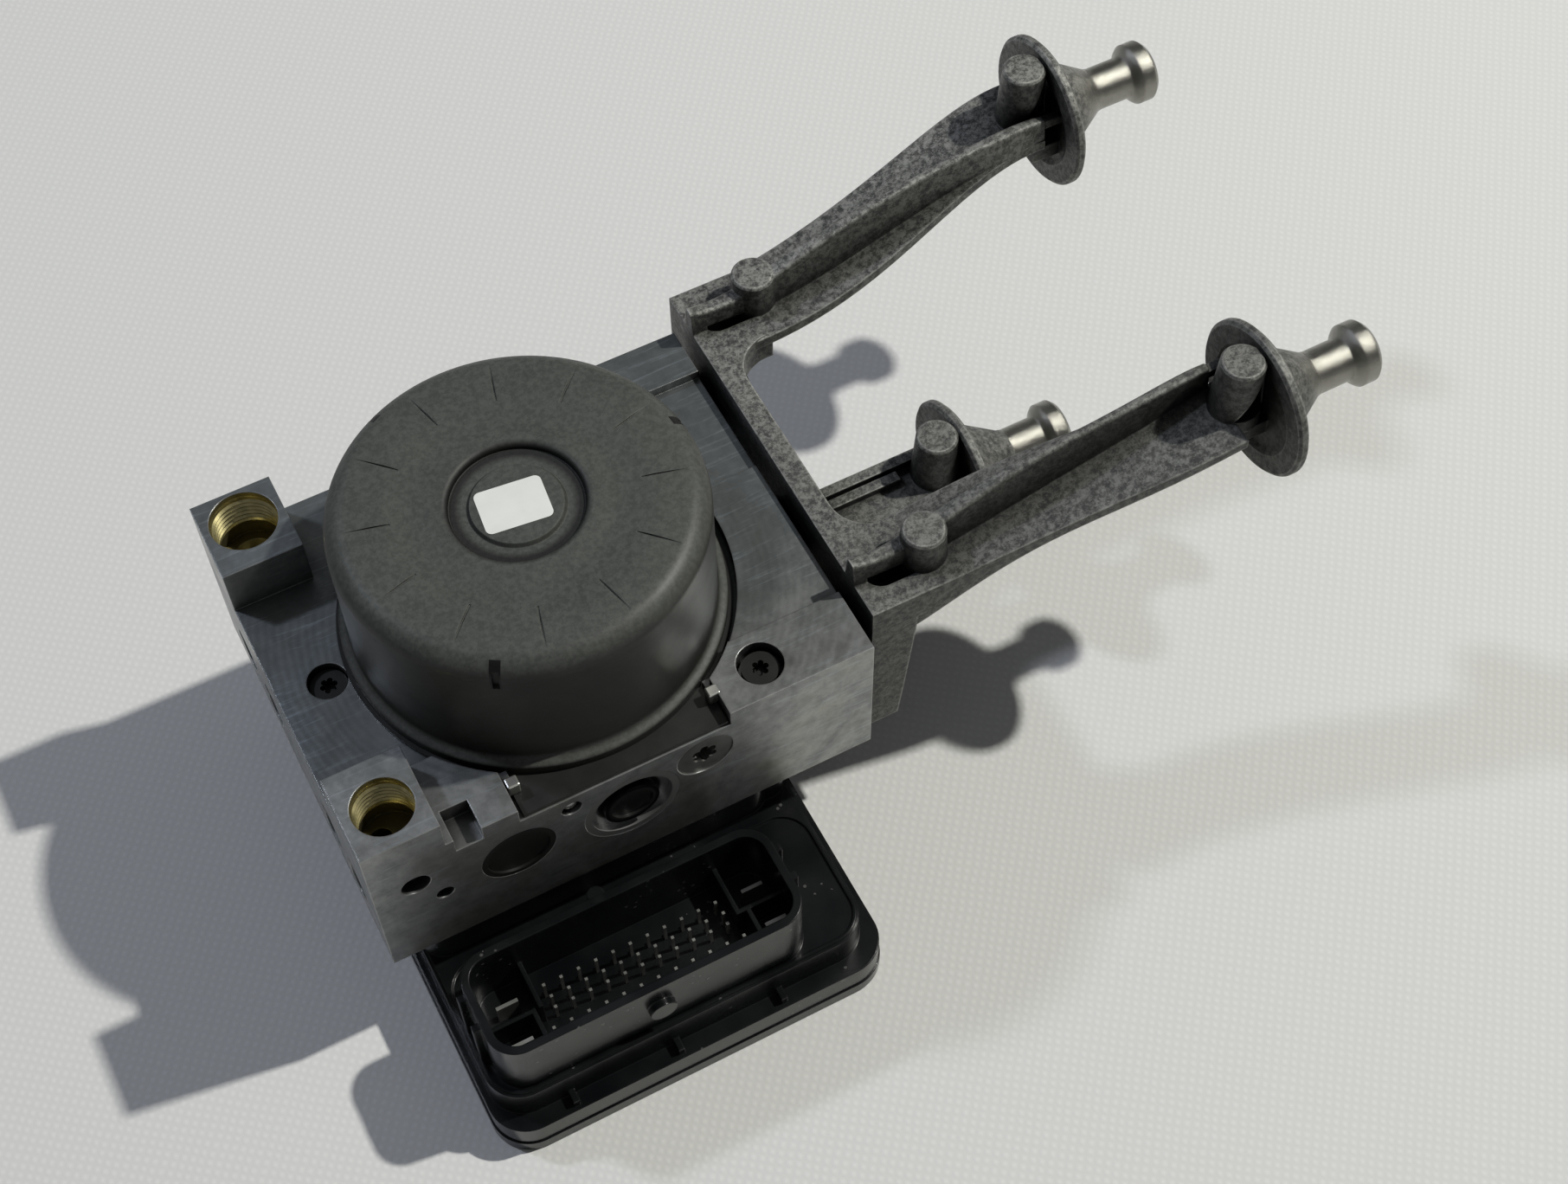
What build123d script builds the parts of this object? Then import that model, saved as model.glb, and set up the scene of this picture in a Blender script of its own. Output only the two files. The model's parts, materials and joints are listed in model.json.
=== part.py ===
"""ABS brake module: valve block, pump motor, control unit and three-pin carrier bracket.

Millimetres. The origin is where the motor axis meets the plane the module stands on, +X points
from the block to the bracket pins, +Y to the back and +Z up along the motor axis.
"""

import os
from math import cos, radians, sin

from build123d import *

os.makedirs("parts", exist_ok=True)

# Driving dimensions -------------------------------------------------------------------------

BLOCK_LENGTH = 110.0  # valve block along X
BLOCK_WIDTH = 90.5  # valve block along Y
BLOCK_HEIGHT = 38.0  # underside to the raised corners
BLOCK_UNDERSIDE = 31.7  # height of the block's underside
AXIS_TO_LEFT = 55.0  # motor axis to the block's left face
AXIS_TO_FRONT = 44.0  # motor axis to the block's front face
LEVEL_DROP = 4.3  # raised corners to the motor seat
BOSS_RISE = 8.0  # raised corners to the port bosses

MOTOR_RADIUS = 37.7  # drawn motor can
MOTOR_HEIGHT = 37.5  # motor seat to the can's crown
FLANGE_WIDTH = 2.0  # rolled rim at the can's foot, outside the can
CAN_WALL = 1.5
PLATE_THICKNESS = 1.0  # plate between the can and the block

PORT_RADIUS_FRONT = 6.3  # inlet port, front boss
PORT_RADIUS_BACK = 7.1  # inlet port, back boss
INLET_DEPTH = 14.0
WHEEL_PORT_RADIUS = 5.0  # four outlet ports on the left face
WHEEL_PORT_DEPTH = 12.0

ECCENTRIC = 1.2  # pump eccentric throw
PISTON_RADIUS = 3.2
PUMP_HEIGHT = 20.0  # pump axis above the block's underside
SLIDE_CLEARANCE = 0.05  # radial clearance of every running fit

ACCUMULATOR_RADIUS = 8.0
ACCUMULATOR_STROKE = 6.0

ECU_LENGTH = 90.0  # control unit along X, at the cover
ECU_FRONT = 37.4  # cover's front edge, ahead of the block's front face
ECU_WALL = 2.0
SEAL = 0.8  # squeezed seal between the control unit and the block
SHROUD_LENGTH = 69.7  # connector shroud along X
SHROUD_WIDTH = 24.1
SHROUD_HEIGHT = 17.6
SHROUD_WALL = 1.8
PIN_PITCH = 3.93

PIN_AXIS_RISE = 55.0  # bracket's two upper pins above the block's underside
FRONT_PIN_REACH = 201.2  # block's left face to the front pin's flange
BACK_PIN_REACH = 203.4
FRONT_ARM_END = 194.2  # where the arms' plates stop short of the flanges
BACK_ARM_END = 199.7
PIN_SPREAD = 44.5  # upper pins' axes from the bracket's middle plane
LOW_PIN_REACH = 156.9
LOW_PIN_RISE = 6.8
PIN_LENGTH = 28.3  # flange's back to the head's end
DISC_RADIUS = 17.3
NECK_RADIUS = 4.8
HEAD_RADIUS = 6.9
PLATE_RISE = 41.0  # bracket's web and plates above the block's underside, at the block
BOSS_RADIUS = 4.7  # round bosses standing on the bracket, at the top

# Derived levels and edges -------------------------------------------------------------------

LEFT = -AXIS_TO_LEFT
RIGHT = LEFT + BLOCK_LENGTH
FRONT = -AXIS_TO_FRONT
BACK = FRONT + BLOCK_WIDTH
UNDER = BLOCK_UNDERSIDE
TOP = UNDER + BLOCK_HEIGHT
SEAT = TOP - LEVEL_DROP
BOSS_TOP = TOP + BOSS_RISE
FLANGE_RADIUS = MOTOR_RADIUS + FLANGE_WIDTH
PUMP_Z = UNDER + PUMP_HEIGHT

FRONT_BOSS = (16.5, 19.6)
BACK_BOSS = (17.3, 19.0)
FRONT_PORT = (LEFT + 8.4, FRONT + 8.9)
BACK_PORT = (LEFT + 8.7, BACK - 7.9)
WHEEL_PORT_Y = [FRONT + 14.8, FRONT + 28.4, BACK - 30.0, BACK - 15.0]
WHEEL_PORT_Z = UNDER + 11.8
VALVE_X = [LEFT + 18, LEFT + 35, LEFT + 77]
VALVE_SPOTS = [(x, y) for x in VALVE_X for y in WHEEL_PORT_Y]
ECU_SCREWS = [(LEFT + 10.5, FRONT + 47), (LEFT + 88.1, FRONT + 7.5), (LEFT + 88.1, BACK - 7.5)]
ACC_FRONT = (LEFT + 30.2, UNDER + 21.7)
ACC_BACK = (LEFT + 75.0, UNDER + 21.7)
ACC_DEPTH = 24.0
SENSOR_SPOT = (0.0, FRONT + 17.0)
TERMINAL_SPOT = (LEFT + 43.5, FRONT + 66.0)
BRACKET_BOLTS = [(FRONT + 16, UNDER + 22), (FRONT + 44, UNDER + 21), (BACK - 8, UNDER + 22)]
BOLT_REACH = 0.56 * (RIGHT - ECU_SCREWS[1][0] - 2.2)  # thread in the block's right face
BRACKET_MIDDLE = FRONT + 51.2  # plane between the two upper pins

COVER_TOP = 3.2
FLANGE_TOP = 9.7
DECK_TOP = 18.5
ECU_LEFT = LEFT + 5.5
ECU_RIGHT = ECU_LEFT + ECU_LENGTH
ECU_FRONT_Y = FRONT - ECU_FRONT
ECU_BACK_Y = BACK - 0.5
BOARD_Z = 5.6
BOARD_THICKNESS = 1.6


def box_between(x0, x1, y0, y1, z0, z1, mode=Mode.ADD):
    """Box given by its faces."""
    with Locations(((x0 + x1) / 2, (y0 + y1) / 2, (z0 + z1) / 2)):
        Box(x1 - x0, y1 - y0, z1 - z0, mode=mode)


def rod(x, y, z, radius, length, axis=Axis.Z, mode=Mode.ADD):
    """Cylinder that starts at a point and runs `length` along an axis."""
    direction = axis.direction
    start = Vector(x, y, z)
    with Locations(Plane(origin=start + direction * (length / 2), z_dir=direction)):
        Cylinder(radius, length, mode=mode)


def rounded_slab(x0, x1, y0, y1, z0, z1, corner, mode=Mode.ADD):
    """Slab with rounded vertical corners."""
    with BuildSketch(Plane.XY.offset(z0)) as outline:
        with Locations(((x0 + x1) / 2, (y0 + y1) / 2)):
            RectangleRounded(x1 - x0, y1 - y0, corner)
    extrude(outline.sketch, amount=z1 - z0, mode=mode)


def coil_spring(x, y, z, radius, wire, length, turns, axis):
    """Open coil spring wound about an axis through a point."""
    pitch = length / turns
    path = Helix(pitch, length, radius)
    frame = Plane(origin=(x, y, z), z_dir=axis.direction)
    path = frame.location * path
    with BuildSketch(Plane(origin=path @ 0, z_dir=path % 0)) as section:
        RegularPolygon(wire, 6)
    sweep(section.sketch, path=path, is_frenet=True)


def finish(builder, name):
    """Label a piece and write its file."""
    builder.part.label = name
    export_step(builder.part, f"parts/{name}.step")


# Valve block --------------------------------------------------------------------------------

clear = FLANGE_RADIUS + 1.8  # milled ring around the motor

with BuildPart() as valve_block:
    box_between(LEFT, RIGHT, FRONT, BACK, UNDER, SEAT)
    # raised levels outside the motor's ring, one height for each milled step
    box_between(LEFT + 77.6, RIGHT, FRONT, FRONT + 15, SEAT, TOP)
    box_between(LEFT + 77.6, RIGHT, FRONT + 15, FRONT + 51.7, SEAT, TOP - 1.5)
    box_between(LEFT + 77.6, RIGHT, FRONT + 51.7, FRONT + 78.7, SEAT, TOP - 2.3)
    box_between(LEFT + 77.6, RIGHT, FRONT + 78.7, BACK, SEAT, TOP)
    box_between(LEFT + FRONT_BOSS[0], LEFT + 31.7, FRONT, FRONT + 19, SEAT, TOP)
    box_between(LEFT + 18.2, LEFT + 24, FRONT, FRONT + 7, SEAT, TOP, mode=Mode.SUBTRACT)
    rod(0, 0, SEAT, clear, BLOCK_HEIGHT, mode=Mode.SUBTRACT)
    # port bosses
    box_between(LEFT, LEFT + FRONT_BOSS[0], FRONT, FRONT + FRONT_BOSS[1], SEAT, BOSS_TOP)
    box_between(LEFT, LEFT + BACK_BOSS[0], BACK - BACK_BOSS[1], BACK, SEAT, BOSS_TOP)
    # two lugs staked over the motor plate at the front, two at the back
    lug_x, lug_y = FLANGE_RADIUS - 14.1, FLANGE_RADIUS - 3.6
    for across in (-1, 1):
        for along in (-1, 1):
            x, y = across * lug_x, along * lug_y
            box_between(x - 1.3, x + 1.3, y - 2.5, y + 2.5, SEAT, SEAT + 2.2)
            x -= across * 2.0
            box_between(x - 2.2, x + 2.2, y - 2.5, y + 2.5, SEAT + PLATE_THICKNESS, SEAT + 2.2)
    # eccentric chamber, bearing seats and pump bores
    rod(0, 0, UNDER + 8, 15.0, BLOCK_HEIGHT, mode=Mode.SUBTRACT)
    rod(0, 0, UNDER + 5, 6.0, 4, mode=Mode.SUBTRACT)
    rod(0, FRONT, PUMP_Z, 7.1, BLOCK_WIDTH, Axis.Y, mode=Mode.SUBTRACT)
    rod(0, FRONT, PUMP_Z, 10.5, 7, Axis.Y, mode=Mode.SUBTRACT)
    rod(0, BACK - 7, PUMP_Z, 10.5, 7, Axis.Y, mode=Mode.SUBTRACT)
    # accumulator bores
    rod(ACC_FRONT[0], FRONT, ACC_FRONT[1], ACCUMULATOR_RADIUS, ACC_DEPTH, Axis.Y, mode=Mode.SUBTRACT)
    rod(ACC_BACK[0], BACK - ACC_DEPTH, ACC_BACK[1], ACCUMULATOR_RADIUS, ACC_DEPTH, Axis.Y, mode=Mode.SUBTRACT)
    # inlet ports with their feed drillings, the front one offset
    inlet_floor = BOSS_TOP - INLET_DEPTH
    rod(*FRONT_PORT, inlet_floor, PORT_RADIUS_FRONT, INLET_DEPTH, mode=Mode.SUBTRACT)
    rod(FRONT_PORT[0] - 1.8, FRONT_PORT[1] + 1.2, UNDER + 27.5, 2.3, 6, mode=Mode.SUBTRACT)
    rod(*BACK_PORT, inlet_floor, PORT_RADIUS_BACK, INLET_DEPTH, mode=Mode.SUBTRACT)
    with Locations((*BACK_PORT, inlet_floor - 1.5)):
        Cone(2.3, 5.0, 3.0, mode=Mode.SUBTRACT)
    rod(*BACK_PORT, UNDER + 25.4, 2.0, 8, mode=Mode.SUBTRACT)
    # outlet ports, a little deeper toward the ends, each with an offset pilot drilling that meets
    # its inlet valve
    pilot_y, pilot_z = 2.4, WHEEL_PORT_Z + 2.2
    for y in WHEEL_PORT_Y:
        depth = WHEEL_PORT_DEPTH + 0.03 * abs(y)
        rod(LEFT, y, WHEEL_PORT_Z, WHEEL_PORT_RADIUS, depth, Axis.X, mode=Mode.SUBTRACT)
        rod(LEFT + depth - 0.5, y + pilot_y, pilot_z, 1.5, 7.0, Axis.X, mode=Mode.SUBTRACT)
        rod(VALVE_X[0], y + pilot_y, UNDER + 10, 1.5, 5, mode=Mode.SUBTRACT)
    # valve pockets and the drillings above them
    for x, y in VALVE_SPOTS:
        rod(x, y, UNDER, 5.5, 11, mode=Mode.SUBTRACT)
    rod(VALVE_X[1], WHEEL_PORT_Y[0], UNDER + 10, 1.5, 8, mode=Mode.SUBTRACT)
    rod(VALVE_X[2], WHEEL_PORT_Y[3], UNDER + 10, 1.5, 8, mode=Mode.SUBTRACT)
    rod(*SENSOR_SPOT, UNDER, 4.0, 8, mode=Mode.SUBTRACT)
    # cross drillings and plugs on the front face
    rod(LEFT + 8.9, FRONT, UNDER + 27.7, 3.1, 3, Axis.Y, mode=Mode.SUBTRACT)
    rod(LEFT + 8.9, FRONT, UNDER + 27.7, 1.7, 9, Axis.Y, mode=Mode.SUBTRACT)
    rod(LEFT + 14, FRONT, UNDER + 19.4, 1.9, 5, Axis.Y, mode=Mode.SUBTRACT)
    rod(LEFT + 42.4, FRONT, UNDER + 29.5, 2.2, 6, Axis.Y, mode=Mode.SUBTRACT)
    rod(LEFT + 71.6, FRONT, UNDER + 26.2, 6.25, 6, Axis.Y, mode=Mode.SUBTRACT)
    # screw holes down to the control unit
    for (x, y), seat in zip(ECU_SCREWS, (SEAT, TOP, TOP)):
        rod(x, y, UNDER, 2.2, BLOCK_HEIGHT, mode=Mode.SUBTRACT)
        rod(x, y, seat - 5, 4.9 if seat == TOP else 4.2, 6, mode=Mode.SUBTRACT)
    # motor feed and bracket bolts
    rod(*TERMINAL_SPOT, UNDER, 2.4, BLOCK_HEIGHT, mode=Mode.SUBTRACT)
    for y, z in BRACKET_BOLTS:
        rod(RIGHT - BOLT_REACH, y, z, 3.0, BOLT_REACH, Axis.X, mode=Mode.SUBTRACT)
finish(valve_block, "valve_block")

# Pump motor ---------------------------------------------------------------------------------

plate_z = SEAT + PLATE_THICKNESS
crown = SEAT + MOTOR_HEIGHT
rim = plate_z + 2.0

with BuildPart() as motor_plate:
    with BuildSketch(Plane.XY.offset(SEAT)):
        Circle(FLANGE_RADIUS + 0.8)
        with Locations((0, (FRONT + 0.4) / 2)):
            Rectangle(44.4, AXIS_TO_FRONT - 0.4)
        Circle(14.0, mode=Mode.SUBTRACT)
        with Locations(TERMINAL_SPOT):
            Circle(2.4, mode=Mode.SUBTRACT)
    extrude(amount=PLATE_THICKNESS)
finish(motor_plate, "motor_plate")

inner = MOTOR_RADIUS - CAN_WALL
shoulder = 4.6  # radius of the can's rounded shoulder
crest = MOTOR_RADIUS - 11.2  # highest ring of the crown
recess = 13.3  # round recess in the crown
cup = 7.8  # bearing cup at the crown's middle
with BuildPart() as motor_can:
    with BuildSketch(Plane.XZ):
        with BuildLine():
            Polyline((inner, plate_z), (FLANGE_RADIUS, plate_z), (FLANGE_RADIUS, rim))
            Spline((FLANGE_RADIUS, rim), (MOTOR_RADIUS + 0.9, rim + 0.8), (MOTOR_RADIUS, rim + 2.4),
                   tangents=((-0.3, 1), (0, 1)))
            Line((MOTOR_RADIUS, rim + 2.4), (MOTOR_RADIUS, crown - shoulder - 0.2))
            Spline((MOTOR_RADIUS, crown - shoulder - 0.2), (MOTOR_RADIUS - 1.5, crown - 1.7),
                   (MOTOR_RADIUS - shoulder, crown - 0.25), tangents=((0, 1), (-1, 0.06)))
            Spline((MOTOR_RADIUS - shoulder, crown - 0.25), (crest, crown),
                   (recess + 5.7, crown - 0.45), (recess + 1.6, crown - 0.05),
                   tangents=((-1, 0.06), (-1, 0)))
            ThreePointArc((recess + 1.6, crown - 0.05), (recess + 0.4, crown - 0.5),
                          (recess, crown - 1.6))
            Polyline((recess, crown - 1.6), (cup + 2.0, crown - 1.8), (cup + 1.4, crown - 1.0),
                     (0, crown - 1.0), (0, crown - 2.6), (cup, crown - 2.6), (cup, crown - 8),
                     (cup + CAN_WALL, crown - 8), (cup + CAN_WALL, crown - 3.4),
                     (recess + 0.7, crown - 3.4), (recess + 2.3, crown - 1.9), (crest, crown - 1.8),
                     (inner - 3.3, crown - 2.2), (inner - 1.1, crown - 3.6), (inner, crown - 6.2),
                     (inner, plate_z))
        make_face()
    revolve(axis=Axis.Z)
    # drawing creases across the crown's outer band
    with Locations((0, 0, crown)):
        with PolarLocations(crest + 3.5, 12, start_angle=15):
            Box(11.0, 0.4, 0.6, mode=Mode.SUBTRACT)
    # short slots in the shoulder
    for angle in (6, 117, 239):
        with PolarLocations(MOTOR_RADIUS, 1, start_angle=angle):
            with Locations((0, 0, crown - shoulder)):
                Box(1.6, 1.3, 5.0, mode=Mode.SUBTRACT)
finish(motor_can, "motor_can")

with BuildPart() as motor_magnets:
    for turn in (45, 135, 225, 315):
        with BuildSketch(Plane.XY.offset(plate_z + 11)):
            with BuildLine():
                a, b = radians(turn - 34), radians(turn + 34)
                low, high = inner - 4.6, inner
                ThreePointArc(
                    (high * cos(a), high * sin(a)),
                    (high * cos(radians(turn)), high * sin(radians(turn))),
                    (high * cos(b), high * sin(b)),
                )
                Line((high * cos(b), high * sin(b)), (low * cos(b), low * sin(b)))
                ThreePointArc(
                    (low * cos(b), low * sin(b)),
                    (low * cos(radians(turn)), low * sin(radians(turn))),
                    (low * cos(a), low * sin(a)),
                )
                Line((low * cos(a), low * sin(a)), (high * cos(a), high * sin(a)))
            make_face()
        extrude(amount=17)
finish(motor_magnets, "motor_magnets")

shaft = 4.0
stack = plate_z + 12.5
slots = 10
with BuildPart() as armature_core:
    with BuildSketch(Plane.XY.offset(stack)):
        Circle(inner - 5.3)
        Circle(shaft, mode=Mode.SUBTRACT)
        with PolarLocations(inner - 10.4, slots):
            Rectangle(7.0, 7.0, mode=Mode.SUBTRACT)
        with PolarLocations(inner - 6, slots):
            Rectangle(5.0, 2.4, mode=Mode.SUBTRACT)
    extrude(amount=14)
finish(armature_core, "armature_core")

with BuildPart() as armature_winding:
    with BuildSketch(Plane.XY.offset(stack)):
        with PolarLocations(inner - 10.4, slots):
            Rectangle(7.0, 7.0)
    extrude(amount=14)
    with BuildSketch(Plane.XY.offset(stack + 14)):
        Circle(inner - 6.9)
        Circle(inner - 13.9, mode=Mode.SUBTRACT)
    extrude(amount=3.2)
    with BuildSketch(Plane.XY.offset(stack)):
        Circle(inner - 6.9)
        Circle(inner - 13.9, mode=Mode.SUBTRACT)
    extrude(amount=-3.2)
finish(armature_winding, "armature_winding")

with BuildPart() as commutator:
    rod(0, 0, plate_z + 3.4, 9.0, 7.6)
    rod(0, 0, plate_z + 3.4, shaft, 7.6, mode=Mode.SUBTRACT)
    with Locations((0, 0, plate_z + 7.4)):
        with PolarLocations(9.0, slots):
            Box(1.0, 0.4, 8.2, mode=Mode.SUBTRACT)
finish(commutator, "commutator")

with BuildPart() as motor_shaft:
    rod(0, 0, PUMP_Z + 5.4, shaft, crown - 3.2 - PUMP_Z - 5.4)
    rod(ECCENTRIC, 0, PUMP_Z - 5.2, 5.5, 10.4)
    rod(0, 0, UNDER + 5.6, 3.0, PUMP_Z - UNDER - 10.8)
    rod(0, 0, PUMP_Z + 5.2, 5.0, 0.4)
finish(motor_shaft, "motor_shaft")

with BuildPart() as eccentric_bearing:
    with Locations((ECCENTRIC, 0, PUMP_Z)):
        Cylinder(9.0, 9.6)
        Cylinder(5.5 + SLIDE_CLEARANCE, 9.6, mode=Mode.SUBTRACT)
finish(eccentric_bearing, "eccentric_bearing")

with BuildPart() as upper_bearing:
    rod(0, 0, crown - 8, cup, 4.6)
    rod(0, 0, crown - 8, shaft + SLIDE_CLEARANCE, 4.6, mode=Mode.SUBTRACT)
finish(upper_bearing, "upper_bearing")

with BuildPart() as lower_bearing:
    rod(0, 0, plate_z - 6.5, 15.0, 5.5)
    rod(0, 0, plate_z - 1, 14.0, 1)
    rod(0, 0, plate_z - 6.5, shaft + SLIDE_CLEARANCE, 6.5, mode=Mode.SUBTRACT)
finish(lower_bearing, "lower_bearing")

with BuildPart() as pilot_bearing:
    rod(0, 0, UNDER + 5, 6.0, 3.9)
    rod(0, 0, UNDER + 5, 3.0 + SLIDE_CLEARANCE, 3.9, mode=Mode.SUBTRACT)
finish(pilot_bearing, "pilot_bearing")

with BuildPart() as brush_card:
    with BuildSketch(Plane.XY.offset(plate_z)):
        Circle(inner)
        Circle(10.5, mode=Mode.SUBTRACT)
        with Locations(TERMINAL_SPOT):
            Circle(2.4, mode=Mode.SUBTRACT)
    extrude(amount=2.2)
    for side in (-1, 1):
        box_between(min(side * 12, side * 27), max(side * 12, side * 27), -4.5, 4.5, plate_z + 2.2, plate_z + 8.9)
        box_between(min(side * 11, side * 25), max(side * 11, side * 25), -3, 3, plate_z + 3.6, plate_z + 8,
                    mode=Mode.SUBTRACT)
finish(brush_card, "brush_card")

with BuildPart() as brushes:
    for side in (-1, 1):
        box_between(min(side * 9.3, side * 18), max(side * 9.3, side * 18), -3, 3, plate_z + 3.6, plate_z + 8)
finish(brushes, "brushes")

with BuildPart() as brush_springs:
    coil_spring(18.2, 0, plate_z + 5.8, 1.5, 0.3, 6.6, 3, Axis.X)
    coil_spring(-18.2, 0, plate_z + 5.8, 1.5, 0.3, 6.6, 3, Axis((0, 0, 0), (-1, 0, 0)))
finish(brush_springs, "brush_springs")

with BuildPart() as motor_terminal:
    box_between(TERMINAL_SPOT[0] - 0.4, TERMINAL_SPOT[0] + 0.4, TERMINAL_SPOT[1] - 1.2, TERMINAL_SPOT[1] + 1.2,
                BOARD_Z + BOARD_THICKNESS, plate_z + 2.2)
finish(motor_terminal, "motor_terminal")

with BuildPart() as terminal_sleeve:
    rod(*TERMINAL_SPOT, UNDER, 2.4, plate_z - UNDER + 2.2)
    box_between(TERMINAL_SPOT[0] - 0.4, TERMINAL_SPOT[0] + 0.4, TERMINAL_SPOT[1] - 1.2, TERMINAL_SPOT[1] + 1.2,
                UNDER, plate_z + 2.2, mode=Mode.SUBTRACT)
finish(terminal_sleeve, "terminal_sleeve")

# Pump elements ------------------------------------------------------------------------------

inner_end = 9.0 + ECCENTRIC + 0.1  # piston's inner end at outer dead centre, from the motor axis
piston_length = 18.0
barrel_in, barrel_out = 15.4, AXIS_TO_FRONT - 7.0
chamber = inner_end + piston_length + 4.4


def pump_barrel(sign):
    """Sleeve that guides one pump piston; sign picks the front (-1) or the back (1)."""
    end = barrel_out if sign < 0 else BACK - 7.0
    low, high = sorted((sign * barrel_in, sign * end))
    rod(0, low, PUMP_Z, 7.1, high - low, Axis.Y)
    low, high = sorted((sign * (barrel_in - 1), sign * chamber))
    rod(0, low, PUMP_Z, PISTON_RADIUS + SLIDE_CLEARANCE, high - low, Axis.Y, mode=Mode.SUBTRACT)


with BuildPart() as front_pump_barrel:
    pump_barrel(-1)
finish(front_pump_barrel, "front_pump_barrel")

with BuildPart() as back_pump_barrel:
    pump_barrel(1)
finish(back_pump_barrel, "back_pump_barrel")

with BuildPart() as front_pump_piston:
    rod(0, -inner_end - piston_length, PUMP_Z, PISTON_RADIUS, piston_length, Axis.Y)
finish(front_pump_piston, "front_pump_piston")

with BuildPart() as back_pump_piston:
    rod(0, inner_end, PUMP_Z, PISTON_RADIUS, piston_length, Axis.Y)
finish(back_pump_piston, "back_pump_piston")

with BuildPart() as front_pump_spring:
    coil_spring(0, -inner_end - piston_length - 0.4, PUMP_Z, 2.3, 0.35, 3.6, 3, Axis((0, 0, 0), (0, -1, 0)))
finish(front_pump_spring, "front_pump_spring")

with BuildPart() as back_pump_spring:
    coil_spring(0, inner_end + piston_length + 0.4, PUMP_Z, 2.3, 0.35, 3.6, 3, Axis.Y)
finish(back_pump_spring, "back_pump_spring")


def pump_plug(sign):
    """Screwed plug with a raised centre disc in a ring groove."""
    face = FRONT if sign < 0 else BACK
    start = min(face, face - sign * 7.0)
    rod(0, start, PUMP_Z, 10.5, 7.0, Axis.Y)
    groove = face - sign * 1.8
    low = min(face, groove)
    rod(0, low, PUMP_Z, 8.9, 1.8, Axis.Y, mode=Mode.SUBTRACT)
    rod(0, low, PUMP_Z, 6.0, 1.8, Axis.Y)
    low = min(face, face - sign * 0.7)
    rod(0, low, PUMP_Z, 4.6, 0.7, Axis.Y, mode=Mode.SUBTRACT)


with BuildPart() as front_pump_plug:
    pump_plug(-1)
finish(front_pump_plug, "front_pump_plug")

with BuildPart() as back_pump_plug:
    pump_plug(1)
finish(back_pump_plug, "back_pump_plug")

# Low-pressure accumulators ------------------------------------------------------------------

cap_depth = 3.6


def accumulator_cap(x, z, sign):
    """Flush cap, slightly dished."""
    face = FRONT if sign < 0 else BACK
    rod(x, min(face, face - sign * cap_depth), z, ACCUMULATOR_RADIUS, cap_depth, Axis.Y)
    rod(x, min(face, face - sign * 0.6), z, ACCUMULATOR_RADIUS - 1.2, 0.6, Axis.Y, mode=Mode.SUBTRACT)


def accumulator_piston(x, z, sign):
    """Cup piston resting on the floor of its bore, open towards the spring."""
    floor = (FRONT + ACC_DEPTH) if sign < 0 else (BACK - ACC_DEPTH)
    crown_y = floor + sign * 0.05
    skirt = crown_y + sign * 6.0
    rod(x, min(crown_y, skirt), z, ACCUMULATOR_RADIUS - SLIDE_CLEARANCE, 6.0, Axis.Y)
    cup = crown_y + sign * 2.0
    rod(x, min(cup, skirt), z, 6.2, 4.0, Axis.Y, mode=Mode.SUBTRACT)


def accumulator_spring(x, z, sign):
    """Coil spring between the cap and the piston's cup."""
    floor = (FRONT + ACC_DEPTH) if sign < 0 else (BACK - ACC_DEPTH)
    start = floor + sign * (2.05 + 0.75)
    length = ACC_DEPTH - cap_depth - 2.05 - 1.5
    coil_spring(x, start, z, 5.2, 0.7, length, 4, Axis((0, 0, 0), (0, sign, 0)))


with BuildPart() as front_accumulator_cap:
    accumulator_cap(*ACC_FRONT, -1)
finish(front_accumulator_cap, "front_accumulator_cap")

with BuildPart() as back_accumulator_cap:
    accumulator_cap(*ACC_BACK, 1)
finish(back_accumulator_cap, "back_accumulator_cap")

with BuildPart() as front_accumulator_piston:
    accumulator_piston(*ACC_FRONT, -1)
finish(front_accumulator_piston, "front_accumulator_piston")

with BuildPart() as back_accumulator_piston:
    accumulator_piston(*ACC_BACK, 1)
finish(back_accumulator_piston, "back_accumulator_piston")

with BuildPart() as front_accumulator_spring:
    accumulator_spring(*ACC_FRONT, -1)
finish(front_accumulator_spring, "front_accumulator_spring")

with BuildPart() as back_accumulator_spring:
    accumulator_spring(*ACC_BACK, 1)
finish(back_accumulator_spring, "back_accumulator_spring")

# Small plugs on the front face --------------------------------------------------------------

with BuildPart() as star_plug:
    rod(LEFT + 71.6, FRONT + 0.3, UNDER + 26.2, 6.25, 5.7, Axis.Y)
    with BuildSketch(Plane(origin=(LEFT + 71.6, FRONT + 0.3, UNDER + 26.2), z_dir=(0, -1, 0))):
        with PolarLocations(1.9, 6):
            Circle(0.95)
        Circle(1.8)
    extrude(amount=-3.0, mode=Mode.SUBTRACT)
finish(star_plug, "star_plug")

with BuildPart() as ball_plug:
    with Locations((LEFT + 42.4, FRONT + 2.6, UNDER + 29.5)):
        Sphere(2.2)
finish(ball_plug, "ball_plug")

# Solenoid valves ----------------------------------------------------------------------------

dome_foot = BOARD_Z + BOARD_THICKNESS + 5.6

with BuildPart() as valve_cartridges:
    for x, y in VALVE_SPOTS:
        rod(x, y, UNDER, 5.5, 7)
        rod(x, y, UNDER + 7, 3.4, 3.4)
        rod(x, y, dome_foot, 3.4, UNDER - dome_foot)
finish(valve_cartridges, "valve_cartridges")

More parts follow.
